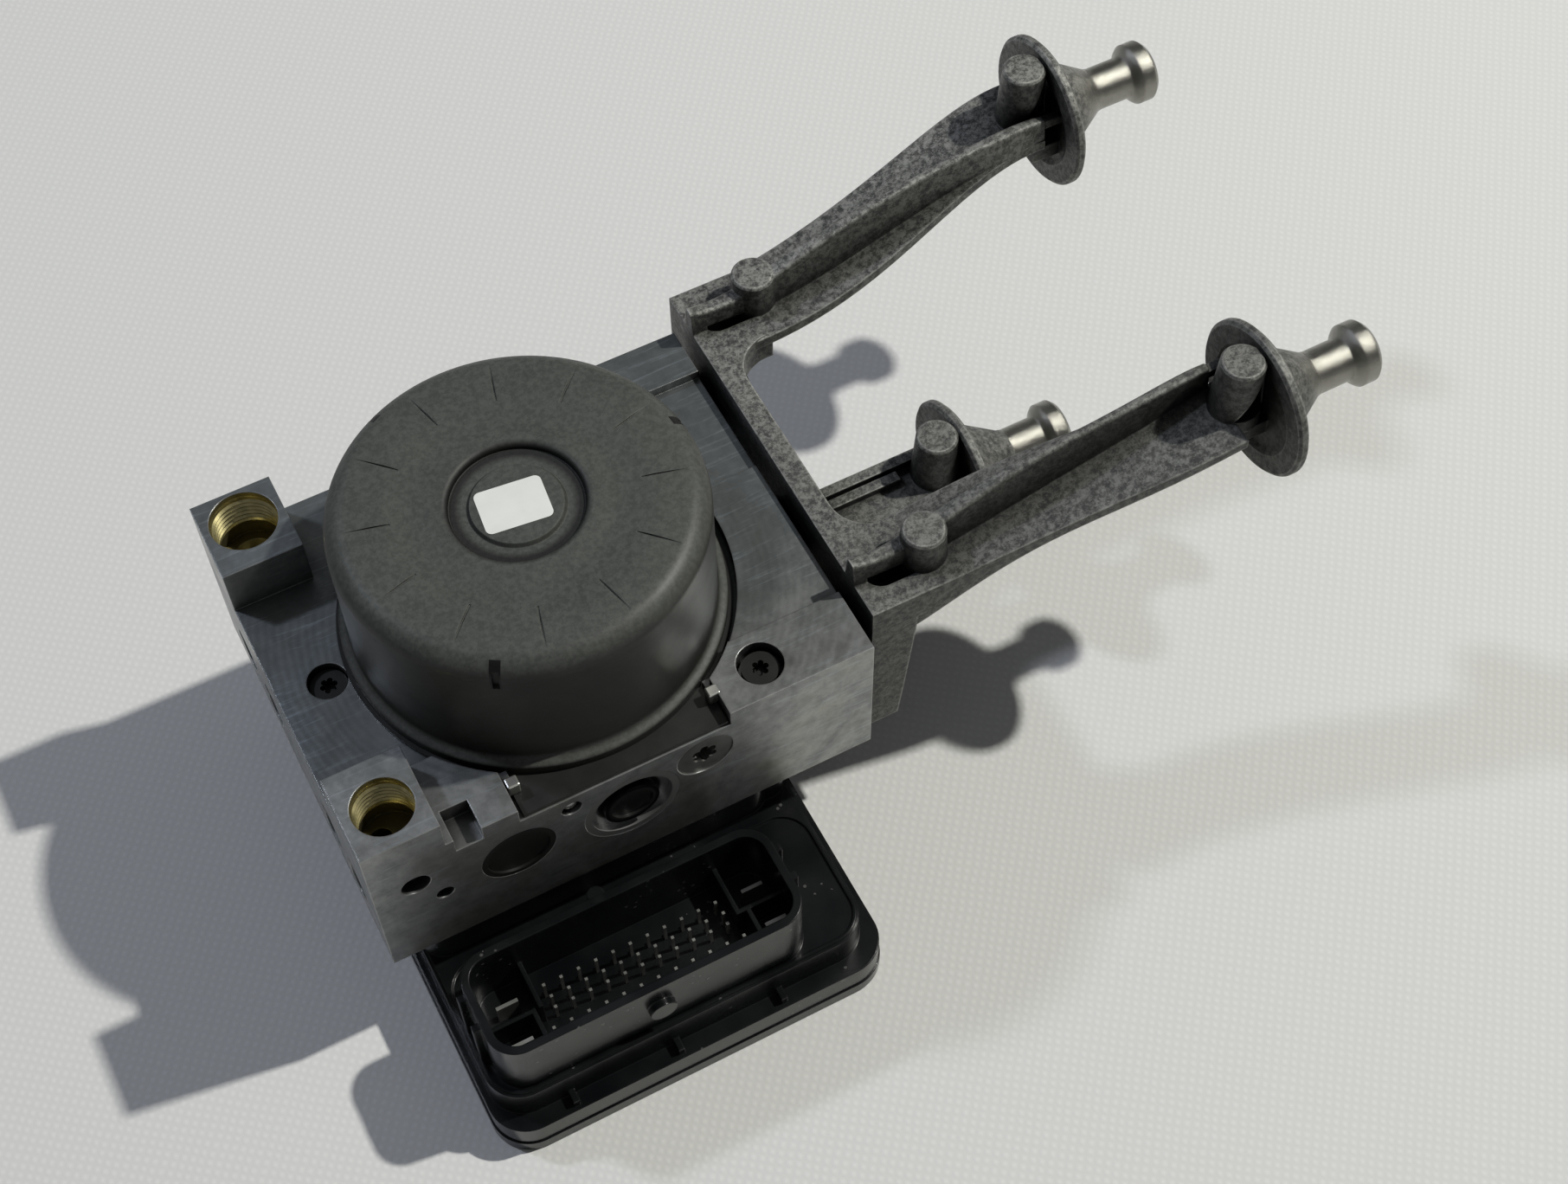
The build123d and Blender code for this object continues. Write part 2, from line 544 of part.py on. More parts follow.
with BuildPart() as solenoid_coils:
    for x, y in VALVE_SPOTS:
        rod(x, y, dome_foot + 0.4, 5.9, 14.2)
        rod(x, y, dome_foot + 0.4, 3.4, 14.2, mode=Mode.SUBTRACT)
finish(solenoid_coils, "solenoid_coils")

with BuildPart() as coil_yokes:
    for x, y in VALVE_SPOTS:
        box_between(x - 7, x + 7, y - 4.8, y + 4.8, dome_foot - 1.0, dome_foot + 16.0)
        box_between(x - 6, x + 6, y - 6, y + 6, dome_foot + 0.4, dome_foot + 14.6, mode=Mode.SUBTRACT)
        rod(x, y, dome_foot - 1.0, 3.4, 17.0, mode=Mode.SUBTRACT)
finish(coil_yokes, "coil_yokes")

with BuildPart() as pressure_sensor:
    rod(*SENSOR_SPOT, UNDER, 4.0, 7.5)
    rod(*SENSOR_SPOT, BOARD_Z + BOARD_THICKNESS, 6.0, UNDER - BOARD_Z - BOARD_THICKNESS)
finish(pressure_sensor, "pressure_sensor")

# Control unit -------------------------------------------------------------------------------

tower = (ECU_LEFT + 1.5, ECU_LEFT + 82.5, FRONT + 2, BACK - 1.5)
deck = (ECU_LEFT + 1.5, ECU_RIGHT - 3, ECU_FRONT_Y + 3.9, ECU_BACK_Y - 0.6)
shroud_left = LEFT + 9.5
shroud_right = shroud_left + SHROUD_LENGTH
shroud_back = FRONT - 7.7
shroud_front = shroud_back - SHROUD_WIDTH
shroud_top = DECK_TOP + SHROUD_HEIGHT

pin_rows = (
    (LEFT + 25.4, FRONT - 15.6, 11, 0.0),
    (LEFT + 25.8, FRONT - 18.5, 11, 0.0),
    (LEFT + 25.7, FRONT - 20.6, 11, -1.0),
    (LEFT + 23.4, FRONT - 25.0, 12, 0.0),
)
pin_tip = UNDER - 6.6
blade_spots = ((17.0, -16.0), (16.4, -25.0), (73.0, -16.0), (74.0, -25.0))


def small_pins(low, mode=Mode.ADD):
    """Square signal pins of every row, from a level up to their tips."""
    for x, y, count, drop in pin_rows:
        for i in range(count):
            at = x + i * PIN_PITCH
            box_between(at - 0.32, at + 0.32, y - 0.32, y + 0.32, low, pin_tip + drop, mode)


def large_blades(low, mode=Mode.ADD):
    """Flat power blades in the two end bays."""
    for x, y in blade_spots:
        box_between(LEFT + x - 2.4, LEFT + x + 2.4, FRONT + y - 0.4, FRONT + y + 0.4, low, pin_tip, mode)


with BuildPart() as ecu_housing:
    rounded_slab(ECU_LEFT, ECU_RIGHT, ECU_FRONT_Y, ECU_BACK_Y, COVER_TOP, FLANGE_TOP, 8.5)
    rounded_slab(*deck, FLANGE_TOP, DECK_TOP, 8.0)
    rounded_slab(*tower, DECK_TOP, UNDER - SEAL, 6.0)
    # thin ridge that runs round the deck's edge
    rounded_slab(deck[0] + 0.6, deck[1] - 0.6, deck[2] + 0.6, deck[3] - 0.6, DECK_TOP, DECK_TOP + 0.5, 7.4)
    rounded_slab(deck[0] + 1.4, deck[1] - 1.4, deck[2] + 1.4, FRONT - 1, DECK_TOP, DECK_TOP + 0.5, 6.6,
                 mode=Mode.SUBTRACT)
    # connector shroud
    rounded_slab(shroud_left, shroud_right, shroud_front, shroud_back, DECK_TOP, shroud_top, 6.5)
    # inside: board bay, coil bay and open top under the block
    rounded_slab(ECU_LEFT + ECU_WALL, ECU_RIGHT - ECU_WALL, ECU_FRONT_Y + ECU_WALL, ECU_BACK_Y - ECU_WALL,
                 COVER_TOP, FLANGE_TOP - ECU_WALL, 6.5, mode=Mode.SUBTRACT)
    rounded_slab(deck[0] + ECU_WALL, deck[1] - ECU_WALL, deck[2] + ECU_WALL, deck[3] - ECU_WALL,
                 COVER_TOP, DECK_TOP - ECU_WALL, 6.0, mode=Mode.SUBTRACT)
    rounded_slab(tower[0] + ECU_WALL, tower[1] - ECU_WALL, tower[2] + ECU_WALL, tower[3] - ECU_WALL,
                 COVER_TOP, UNDER, 4.0, mode=Mode.SUBTRACT)
    rounded_slab(shroud_left + SHROUD_WALL, shroud_right - SHROUD_WALL, shroud_front + SHROUD_WALL,
                 shroud_back - SHROUD_WALL, DECK_TOP + 0.8, shroud_top, 4.7, mode=Mode.SUBTRACT)
    # keying ribs inside the shroud, a large-contact bay at each end
    rib_top = shroud_top - 9.0
    for x in (LEFT + 22.8, LEFT + 67.5):
        box_between(x - 0.5, x + 0.5, FRONT - 20.6, shroud_back - SHROUD_WALL, DECK_TOP + 0.8, rib_top)
    box_between(shroud_left + 1, LEFT + 21.6, FRONT - 21.1, FRONT - 20.1, DECK_TOP + 0.8, rib_top)
    box_between(LEFT + 67, shroud_right - 1, FRONT - 21.1, FRONT - 20.1, DECK_TOP + 0.8, rib_top)
    box_between(LEFT + 20.6, LEFT + 21.6, shroud_front + 1, FRONT - 20.1, DECK_TOP + 0.8, rib_top)
    box_between(LEFT + 69.2, LEFT + 70.2, shroud_front + 1, FRONT - 20.1, DECK_TOP + 0.8, rib_top)
    small_pins(DECK_TOP - ECU_WALL - 1, Mode.SUBTRACT)
    large_blades(DECK_TOP - ECU_WALL - 1, Mode.SUBTRACT)
    # screw bosses and the board's posts
    for x, y in ECU_SCREWS:
        rod(x, y, BOARD_Z + BOARD_THICKNESS, 4.0, UNDER - SEAL - BOARD_Z - BOARD_THICKNESS)
        rod(x, y, UNDER - 14, 1.7, 14, mode=Mode.SUBTRACT)
    # two lever rails on each short side of the shroud and the latch at its front
    for y in (FRONT - 14.5, FRONT - 21.5):
        box_between(shroud_left - 1.6, shroud_left, y - 0.8, y + 0.8, DECK_TOP, shroud_top - 2)
        box_between(shroud_right, shroud_right + 1.6, y - 0.8, y + 0.8, DECK_TOP, shroud_top - 2)
    middle = (shroud_left + shroud_right) / 2
    rod(middle, shroud_front - 1.6, shroud_top - 8.5, 3.0, 2.0, Axis.Y)
    rod(LEFT + 43, FRONT - 4.0, DECK_TOP, 1.9, 10.5)
    # ribs across the front channel
    for x in (LEFT + 22, LEFT + 46, LEFT + 70):
        box_between(x - 0.7, x + 0.7, ECU_FRONT_Y + 1, deck[2] + 0.2, FLANGE_TOP, FLANGE_TOP + 2.4)
finish(ecu_housing, "ecu_housing")

with BuildPart() as ecu_cover:
    rounded_slab(ECU_LEFT - 0.3, ECU_RIGHT + 0.3, ECU_FRONT_Y - 0.3, ECU_BACK_Y + 0.3, 0, COVER_TOP, 8.8)
    rounded_slab(ECU_LEFT + 2.2, ECU_RIGHT - 2.2, ECU_FRONT_Y + 2.2, ECU_BACK_Y - 2.2, 1.6, COVER_TOP, 6.3,
                 mode=Mode.SUBTRACT)
finish(ecu_cover, "ecu_cover")

with BuildPart() as housing_seal:
    rounded_slab(*tower, UNDER - SEAL, UNDER, 6.0)
    rounded_slab(tower[0] + ECU_WALL, tower[1] - ECU_WALL, tower[2] + ECU_WALL, tower[3] - ECU_WALL,
                 UNDER - SEAL, UNDER, 4.0, mode=Mode.SUBTRACT)
    for x, y in ECU_SCREWS:
        rod(x, y, UNDER - SEAL, 4.0, SEAL)
        rod(x, y, UNDER - SEAL, 1.7, SEAL, mode=Mode.SUBTRACT)
finish(housing_seal, "housing_seal")

with BuildPart() as circuit_board:
    rounded_slab(ECU_LEFT + 2.6, ECU_RIGHT - 2.6, ECU_FRONT_Y + 3.0, ECU_BACK_Y - 3.0,
                 BOARD_Z, BOARD_Z + BOARD_THICKNESS, 5.0)
finish(circuit_board, "circuit_board")

with BuildPart() as connector_pins:
    small_pins(BOARD_Z + BOARD_THICKNESS)
finish(connector_pins, "connector_pins")

with BuildPart() as power_blades:
    large_blades(BOARD_Z + BOARD_THICKNESS)
finish(power_blades, "power_blades")

with BuildPart() as board_components:
    under = BOARD_Z
    box_between(-30, -14, -74, -58, under - 1.6, under)
    box_between(-6, 4, -72, -62, under - 1.4, under)
    box_between(12, 24, -70, -60, under - 1.8, under)
    for x in (-34, -22, -10, 2, 14, 26):
        box_between(x - 2, x + 2, -50, -46, under - 1.2, under)
finish(board_components, "board_components")

with BuildPart() as ecu_screws:
    for (x, y), seat in zip(ECU_SCREWS, (SEAT, TOP, TOP)):
        head = seat - 5
        rod(x, y, head, 3.9, 3.2)
        rod(x, y, UNDER - 12, 1.7, head - UNDER + 12)
        with BuildSketch(Plane.XY.offset(head + 3.2)):
            with Locations((x, y)):
                with PolarLocations(1.25, 6):
                    Circle(0.6)
                Circle(1.2)
        extrude(amount=-2.2, mode=Mode.SUBTRACT)
finish(ecu_screws, "ecu_screws")

# Carrier bracket ----------------------------------------------------------------------------

web_in = RIGHT + 2.4  # the web stands off the block on its bolt pads
web_out = web_in + 5.1
web_top = UNDER + PLATE_RISE
root_in, root_out = 27.2, 46.2  # arms' edges at the block, from the middle plane
root_right = web_in + 15.6
root_boss = LEFT + 128.6
leg_front, leg_back = BRACKET_MIDDLE - root_out, BRACKET_MIDDLE + root_out
leg_width = 6.0
trough_floor = web_top - 4.5
rib_out, rib_in = 37.6, 35.2  # rib's two sides at the block, from the middle plane
rim_top = 47.2

# cuts across an arm: distance along from the block's left face; from the middle plane the outer
# edge, the rib's two sides and the inner edge; then the heights of the outer edge's foot, the
# plate and the rib's crest above the block's underside
ARM_CUTS = (
    (web_in - LEFT, root_out, rib_out, rib_in, root_in, 29.0, PLATE_RISE, rim_top),
    (134.0, 46.6, 37.9, 34.6, 26.4, 34.6, 41.8, 49.9),
    (150.0, 48.1, 37.6, 35.2, 27.6, 41.8, 45.0, 55.4),
    (166.0, 50.3, 37.8, 36.0, 30.6, 46.4, 49.2, 58.8),
    (182.0, 52.8, 38.2, 36.0, 33.9, 51.2, 53.8, 61.2),
)
END_CUT = (53.9, 38.0, 35.9, 34.8, 54.6, 57.0, 62.0)


def arm_cut(side, along, outer, out, into, edge, foot, plate, rib):
    """Outline of a plate with an upstanding rib, cut across an arm."""
    corners = (
        (outer, foot), (outer, plate), (out + 0.8, plate), (out, rib), (into, rib),
        (into - 0.8, plate), (edge, plate), (edge, plate - 2.6), (into, plate - 3.4),
    )
    with BuildSketch(Plane.YZ.offset(LEFT + along)) as cut:
        with BuildLine():
            Polyline([(BRACKET_MIDDLE + side * across, UNDER + up) for across, up in corners],
                     close=True)
        make_face()
        fillet(cut.vertices().sort_by(Axis.Y)[-2:], 0.7)
    return cut.sketch


def boss(x, y, top, height):
    """Round boss with draft and a broken edge."""
    foot = BOSS_RADIUS + 0.06 * height
    with BuildSketch(Plane.XZ.offset(-y)) as profile:
        with BuildLine():
            Polyline((x, top - height), (x + foot, top - height), (x + BOSS_RADIUS, top - 0.5),
                     (x + BOSS_RADIUS - 0.5, top), (x, top), (x, top - height))
        make_face()
    revolve(profile.sketch, axis=Axis((x, y, 0), (0, 0, 1)))


def carrier_pin(x, y, z):
    """Flange with a recessed back, flared cone, neck and mushroom head along +X."""
    head = PIN_LENGTH - 4.6
    with BuildSketch(Plane(origin=(x, y, z), x_dir=(1, 0, 0), z_dir=(0, -1, 0))) as profile:
        with BuildLine():
            Polyline((1.0, 0), (1.0, DISC_RADIUS - 6.1), (0, DISC_RADIUS - 4.9),
                     (0, DISC_RADIUS - 0.7), (0.7, DISC_RADIUS), (1.9, DISC_RADIUS),
                     (2.6, DISC_RADIUS - 0.9), (2.8, 12.2), (3.8, 11.0), (13.4, 5.1),
                     (14.6, NECK_RADIUS), (head - 1.4, NECK_RADIUS), (head - 0.4, HEAD_RADIUS - 0.7),
                     (head + 0.4, HEAD_RADIUS), (PIN_LENGTH - 1.2, HEAD_RADIUS),
                     (PIN_LENGTH - 0.3, HEAD_RADIUS - 0.8), (PIN_LENGTH, 0), close=True)
        make_face()
    revolve(profile.sketch, axis=Axis((x, y, z), (1, 0, 0)))


def arm(side, reach, end):
    """Arm with its bosses and pin: side picks the front (-1) or the back (1)."""
    loft([arm_cut(side, *cut) for cut in (*ARM_CUTS, (end, *END_CUT))])
    # trough on both sides of the rim, and the boss that stands in it
    rib = BRACKET_MIDDLE + side * (rib_out + rib_in) / 2
    with BuildSketch(Plane.XY.offset(trough_floor)) as trough:
        with Locations(((web_in + root_boss) / 2 + 3.6, rib + side * 0.6)):
            RectangleRounded(root_boss - web_in + 1.8, 8.4, 4.0)
    extrude(trough.sketch, amount=5.6, mode=Mode.SUBTRACT)
    box_between(web_in, LEFT + 137, rib - 1.2, rib + 1.2, trough_floor - 1, web_top + 3)
    boss(root_boss, rib + side * 1.1, UNDER + 49.6, 14)
    # bridge and low block between the arm's end and the flange
    y = BRACKET_MIDDLE + side * 37.1
    box_between(LEFT + end - 2, LEFT + reach + 1.2, y - 1.0, y + 1.0, UNDER + 59.2, UNDER + 61.4)
    y = BRACKET_MIDDLE + side * 42.8
    box_between(LEFT + end - 2, LEFT + reach + 1.2, y - 6.8, y + 6.8, UNDER + 49.5, UNDER + 53.6)
    # end boss, merged into the flange, with a pocket on each side of the web between them
    x, y = LEFT + reach, BRACKET_MIDDLE + side * PIN_SPREAD
    boss(x - 4.5, y, UNDER + 70.8, 17)
    for across in (1.2, -6.0):
        with BuildSketch(Plane.XZ.offset(-y - across)) as pocket:
            with BuildLine():
                Polyline((x, UNDER + 57.4), (x - 7.6, UNDER + 57.4), (x - 1.6, UNDER + 68.2),
                         (x, UNDER + 68.2), close=True)
            make_face()
        extrude(pocket.sketch, amount=-4.8, mode=Mode.SUBTRACT)
    carrier_pin(x, y, UNDER + PIN_AXIS_RISE)


with BuildPart() as bracket:
    # top frame: web and the two arm roots in one level, with rounded inner corners
    with BuildSketch(Plane.XY.offset(web_top)) as frame:
        with Locations(((web_in + web_out) / 2, BRACKET_MIDDLE)):
            Rectangle(web_out - web_in, 2 * root_out)
        for side in (-1, 1):
            middle = BRACKET_MIDDLE + side * (root_in + root_out) / 2
            with Locations(((web_in + root_right) / 2, middle)):
                Rectangle(root_right - web_in, root_out - root_in)
        fillet(frame.vertices().filter_by_position(Axis.X, web_out - 0.1, web_out + 0.1), 9.0)
    extrude(frame.sketch, amount=-8.0)
    # web down the block's right face and its three bolt pads
    box_between(web_in, web_out, leg_front, leg_back, UNDER + 5, web_top)
    for y, z in BRACKET_BOLTS:
        rod(RIGHT, y, z, 6.5, 3.0, Axis.X)
    # legs at both ends of the web
    for y in (leg_front, leg_back - leg_width):
        with BuildSketch(Plane.XZ.offset(-y)) as leg:
            with BuildLine():
                Polyline((web_in, UNDER - 3.5), (web_out + 2.0, UNDER - 3.5),
                         (web_out + 3.1, UNDER + 6), (web_out + 5.4, UNDER + 29),
                         (web_out + 5.4, web_top), (web_in, web_top), close=True)
            make_face()
        extrude(leg.sketch, amount=-leg_width)
    arm(-1, FRONT_PIN_REACH, FRONT_ARM_END)
    arm(1, BACK_PIN_REACH, BACK_ARM_END)
    # low middle arm with its ridge, boss and pin
    low_x, low_y, low_z = LEFT + LOW_PIN_REACH, FRONT + 47.7, UNDER + LOW_PIN_RISE
    box_between(web_in, low_x + 1.2, FRONT + 41, FRONT + 54, UNDER + 6, UNDER + 11)
    box_between(web_in, low_x + 1.2, FRONT + 51.5, FRONT + 54, UNDER + 6, UNDER + 13.5)
    box_between(web_in, low_x + 1.2, FRONT + 44, FRONT + 51, UNDER, UNDER + 8)
    box_between(web_in, low_x - 13, FRONT + 48.4, FRONT + 50.8, UNDER + 6, UNDER + 12.8)
    boss(low_x - 4.7, low_y, UNDER + 24.5, 14)
    carrier_pin(low_x, low_y, low_z)
    for y, z in BRACKET_BOLTS:
        rod(RIGHT - 1, y, z, 3.3, 12, Axis.X, mode=Mode.SUBTRACT)
finish(bracket, "bracket")

with BuildPart() as bracket_bolts:
    for y, z in BRACKET_BOLTS:
        rod(RIGHT - BOLT_REACH + 1, y, z, 3.0, BOLT_REACH - 1 + web_out - RIGHT, Axis.X)
        rod(web_out, y, z, 5.0, 5.0, Axis.X)
finish(bracket_bolts, "bracket_bolts")

# Label --------------------------------------------------------------------------------------

with BuildPart() as label:
    with BuildSketch(Plane.XY.offset(crown - 1.0)):
        with Locations(Location((-0.5, -1.3), -2)):
            RectangleRounded(13.4, 12.2, 1.0)
    extrude(amount=0.12)
finish(label, "label")
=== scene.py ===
import json
import math

import bmesh
import bpy
from mathutils import Matrix, Vector


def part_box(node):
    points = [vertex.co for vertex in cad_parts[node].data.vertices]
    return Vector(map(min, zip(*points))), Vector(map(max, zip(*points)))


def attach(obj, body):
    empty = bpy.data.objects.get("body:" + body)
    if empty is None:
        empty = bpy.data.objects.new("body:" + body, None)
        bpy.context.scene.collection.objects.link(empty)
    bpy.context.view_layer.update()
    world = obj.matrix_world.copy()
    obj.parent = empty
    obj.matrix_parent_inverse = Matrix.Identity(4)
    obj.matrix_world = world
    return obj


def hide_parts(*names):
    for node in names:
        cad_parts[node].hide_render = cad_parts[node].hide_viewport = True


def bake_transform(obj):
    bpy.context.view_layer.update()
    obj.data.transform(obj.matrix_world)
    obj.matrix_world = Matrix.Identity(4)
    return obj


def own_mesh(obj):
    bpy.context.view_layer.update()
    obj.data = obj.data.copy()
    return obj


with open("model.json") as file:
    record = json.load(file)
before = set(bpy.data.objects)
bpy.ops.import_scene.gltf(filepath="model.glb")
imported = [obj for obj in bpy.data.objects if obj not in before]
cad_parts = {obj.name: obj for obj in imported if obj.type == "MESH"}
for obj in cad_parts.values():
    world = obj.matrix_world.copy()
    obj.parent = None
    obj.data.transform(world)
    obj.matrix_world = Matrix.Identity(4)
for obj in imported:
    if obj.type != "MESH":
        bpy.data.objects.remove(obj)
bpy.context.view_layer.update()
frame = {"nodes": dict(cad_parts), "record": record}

MM = 0.001
NODES = frame["nodes"]
JOINTS = frame["record"]["behaviour"]["joints"]

# Camera of the photograph, in the part's frame
CAMERA_AT = Vector((-74.7, -260.9, 490.3)) * MM
CAMERA_RIGHT = Vector((0.88522, -0.46507, -0.00988))
CAMERA_FORWARD = Vector((0.2409, 0.4765, -0.8455))
LENS = 56.22

# Directions towards the warm key light and towards the weaker, bluish one behind on the left
KEY = Vector((0.733, -0.14, 1.0)).normalized()
WINDOW = Vector((-0.526, 0.602, 1.0)).normalized()
AIM = Vector((0.02, 0, 0.04))

FLOOR_SIZE = 16
FLOOR_Z = -0.0004  # just under the module, so that the two share no plane

# From here down to the finishes, lengths are in millimetres.
# Inlet ports: axes, bores and heights
BACK_PORT = (-46.3, 38.6)
FRONT_PORT = (-46.6, -35.1)
BACK_BORE = 7.1
FRONT_BORE = 6.3
BORE_MARGIN = 0.2
PORT_LIP = 77.4
THREAD_TOP = 76.2
THREAD_FOOT = 67.0
PORT_DEEP = 60.0
THREAD_PITCH = 1.3
THREAD_HEIGHT = 0.55
THREAD_STEPS = 72
THREAD_SUNK = 0.02  # root of the thread, in the bore's wall
CREST_HALF_WIDTH = 0.10
ROOT_HALF_WIDTH = 0.55

# Motor can, and the slots over its shoulder, whose shade is painted on the can
PUMP_AXIS_Z = 51.7
RECESS_RADIUS = 12.8
CAN_RADIUS = 37.7
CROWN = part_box("motor_can")[1][2] / MM
SLOT_ANGLES = (6, 117, 239)
SLOT_HALF_WIDTH = 1.1
SLOT_REACH = 2.6
SLOT_LENGTH = 7.1

# Worn necks of the bracket's pins
UPPER_NECK_X = 160.5
LOW_NECK_X = 116.0
LOW_NECK_TOP = 58.0

# Sticker on the crown
STICKER_AT = (-0.7, 0.0)
STICKER_HALF = (6.8, 5.1)
STICKER_CORNER = 1.3
STICKER_TURN = math.radians(-6.7)
STICKER_EDGE = 0.03

# Lugs at the motor plate's corners
LEFT_NIB_X = -21.7
RIGHT_NIB_X = 21.9
NIB_Y = -37.5
NIB_HALF = (1.3, 1.2)
NIB_HEIGHT = 3.4
NIB_EDGE = 0.3


def material(name):
    """New node material: returns it with its tree and its principled shader."""
    made = bpy.data.materials.new(name)
    made.use_nodes = True
    tree = made.node_tree
    return made, tree, tree.nodes["Principled BSDF"]


def add(tree, kind, **values):
    """Adds a node and sets its properties or input defaults."""
    node = tree.nodes.new(kind)
    for key, value in values.items():
        if hasattr(node, key):
            setattr(node, key, value)
        else:
            node.inputs[key.replace("_", " ")].default_value = value
    return node


def feed(tree, socket, value):
    """Links a socket to an input, or sets the input to a number or colour."""
    if isinstance(value, bpy.types.NodeSocket):
        tree.links.new(value, socket)
    elif isinstance(value, tuple):
        socket.default_value = (*value, 1)
    else:
        socket.default_value = value


def place(tree):
    """Object coordinates, in metres."""
    return add(tree, "ShaderNodeTexCoord").outputs["Object"]


def noise(tree, where, scale, detail=4.0, roughness=0.55, distortion=0.0):
    """Noise factor over the surface."""
    node = add(tree, "ShaderNodeTexNoise", Scale=scale, Detail=detail, Roughness=roughness,
               Distortion=distortion)
    tree.links.new(where, node.inputs["Vector"])
    return node.outputs["Fac"]


def ramp(tree, factor, *stops):
    """Colour ramp over a factor; each stop is (position, colour)."""
    node = add(tree, "ShaderNodeValToRGB")
    band = node.color_ramp
    while len(band.elements) < len(stops):
        band.elements.new(0.5)
    for element, (position, colour) in zip(band.elements, stops):
        element.position = position
        grey = (colour,) * 3 if isinstance(colour, float) else colour
        element.color = (*grey, 1)
    tree.links.new(factor, node.inputs["Fac"])
    return node.outputs["Color"]


def mix(tree, factor, a, b, blend="MIX"):
    """Mixes two colours, each a socket or a tuple."""
    node = add(tree, "ShaderNodeMixRGB", blend_type=blend)
    for name, value in (("Fac", factor), ("Color1", a), ("Color2", b)):
        feed(tree, node.inputs[name], value)
    return node.outputs["Color"]


def maths(tree, kind, *values):
    """One Math node over sockets or numbers."""
    node = add(tree, "ShaderNodeMath", operation=kind)
    for socket, value in zip(node.inputs, values):
        feed(tree, socket, value)
    return node.outputs["Value"]


def times(tree, first, *others):
    """Product of sockets or numbers."""
    for other in others:
        first = maths(tree, "MULTIPLY", first, other)
    return first


def distance(tree, a, b):
    """Length of a vector with two parts."""
    squares = maths(tree, "ADD", times(tree, a, a), times(tree, b, b))
    return maths(tree, "SQRT", squares)


def rounded(tree, radius):
    """Normal with the edges rounded off by a radius in millimetres."""
    return add(tree, "ShaderNodeBevel", samples=4, Radius=radius * MM).outputs["Normal"]


def bump(tree, shader, height, strength, depth, normal=None):
    """Raises the surface by a height socket, over an optional rounded normal."""
    node = add(tree, "ShaderNodeBump", Strength=strength, Distance=depth)
    tree.links.new(height, node.inputs["Height"])
    if normal:
        tree.links.new(normal, node.inputs["Normal"])
    tree.links.new(node.outputs["Normal"], shader.inputs["Normal"])


def edges(tree, normal, gain):
    """1 on sharp edges and 0 on flats, from a rounded normal."""
    dot = add(tree, "ShaderNodeVectorMath", operation="DOT_PRODUCT")
    tree.links.new(normal, dot.inputs[0])
    tree.links.new(add(tree, "ShaderNodeNewGeometry").outputs["Normal"], dot.inputs[1])
    apart = maths(tree, "SUBTRACT", 1.0, dot.outputs["Value"])
    return maths(tree, "MINIMUM", times(tree, apart, gain), 1.0)


def open_faces(tree, reach):
    """1 on open faces, falling to 0 in corners and recesses."""
    return add(tree, "ShaderNodeAmbientOcclusion", samples=8, Distance=reach * MM).outputs["AO"]


def axes(tree, where):
    """Separate X, Y and Z sockets."""
    node = add(tree, "ShaderNodeSeparateXYZ")
    tree.links.new(where, node.inputs["Vector"])
    return node.outputs["X"], node.outputs["Y"], node.outputs["Z"]


def upward(tree, low, high):
    """0 on faces that look sideways, rising to 1 on those that look up."""
    _, _, z = axes(tree, add(tree, "ShaderNodeNewGeometry").outputs["Normal"])
    return ramp(tree, z, (low, 0.0), (high, 1.0))


def near_port(tree, where, centre, radius, foot, top):
    """1 inside a port's bore between two heights, and 0 elsewhere."""
    x, y, z = axes(tree, where)
    dx = maths(tree, "SUBTRACT", x, centre[0] * MM)
    dy = maths(tree, "SUBTRACT", y, centre[1] * MM)
    inside = maths(tree, "LESS_THAN", distance(tree, dx, dy), radius * MM)
    below = maths(tree, "LESS_THAN", z, top * MM)
    above = maths(tree, "GREATER_THAN", z, foot * MM)
    return times(tree, inside, below, above)


def both_ports(tree, where, foot, top):
    """1 inside either inlet port between two heights, and 0 elsewhere."""
    back = near_port(tree, where, BACK_PORT, BACK_BORE + BORE_MARGIN, foot, top)
    front = near_port(tree, where, FRONT_PORT, FRONT_BORE + BORE_MARGIN, foot, top)
    return maths(tree, "MAXIMUM", back, front)


def painted_slot_shade(tree, where):
    """1 where the shade of short slots over the motor can's shoulder is painted, and 0
    elsewhere.
    """
    x, y, z = axes(tree, where)
    found = 0.0
    for angle in SLOT_ANGLES:
        c, s = math.cos(math.radians(angle)), math.sin(math.radians(angle))
        out = maths(tree, "ADD", times(tree, x, c), times(tree, y, s))
        across = maths(tree, "SUBTRACT", times(tree, y, c), times(tree, x, s))
        narrow = maths(tree, "LESS_THAN", maths(tree, "ABSOLUTE", across), SLOT_HALF_WIDTH * MM)
        outer = maths(tree, "GREATER_THAN", out, (CAN_RADIUS - SLOT_REACH) * MM)
        found = maths(tree, "MAXIMUM", found, times(tree, narrow, outer))
    return times(tree, found, maths(tree, "GREATER_THAN", z, (CROWN - SLOT_LENGTH) * MM))


